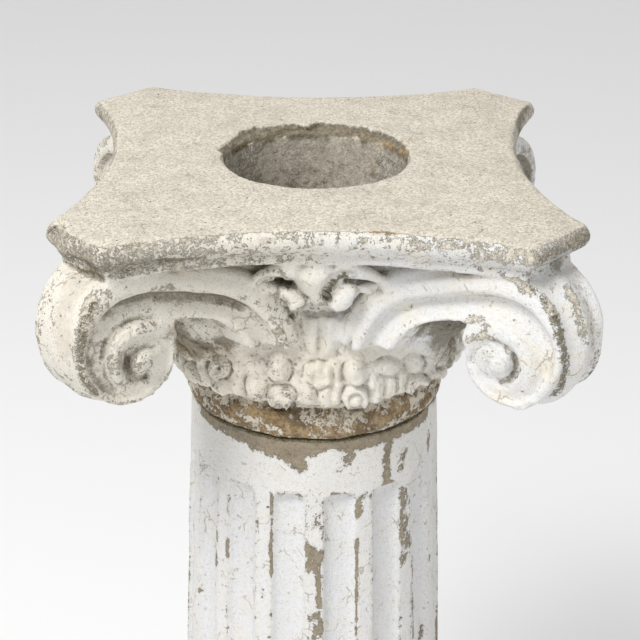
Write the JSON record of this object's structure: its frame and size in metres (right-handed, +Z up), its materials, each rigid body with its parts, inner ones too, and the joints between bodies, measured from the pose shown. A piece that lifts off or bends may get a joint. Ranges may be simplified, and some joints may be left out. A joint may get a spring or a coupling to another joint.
{
  "type": "ionic column",
  "caption": "Short hollow cast-stone column: fluted shaft, square moulded base and a four-sided scrolled capital with a garland and a slab top pierced by the bore.",
  "frame": {"origin": "on the ground under the column's axis, at the middle of the plinth's underside", "axes": "+Z up along the column's axis; the face seen in the picture looks towards -Y; +X to its right"},
  "size_m": [0.49, 0.49, 1.1606],
  "materials": {
    "base_paint": "cast stone under flaking white paint",
    "shaft_paint": "cast stone under flaking white paint",
    "capital_stone": "bare sandy cast stone on top, white paint remains on the carving"
  },
  "bodies": {
    "root": {"base": "base_paint", "shaft": "shaft_paint", "capital": "capital_stone"}
  },
  "joints": []
}
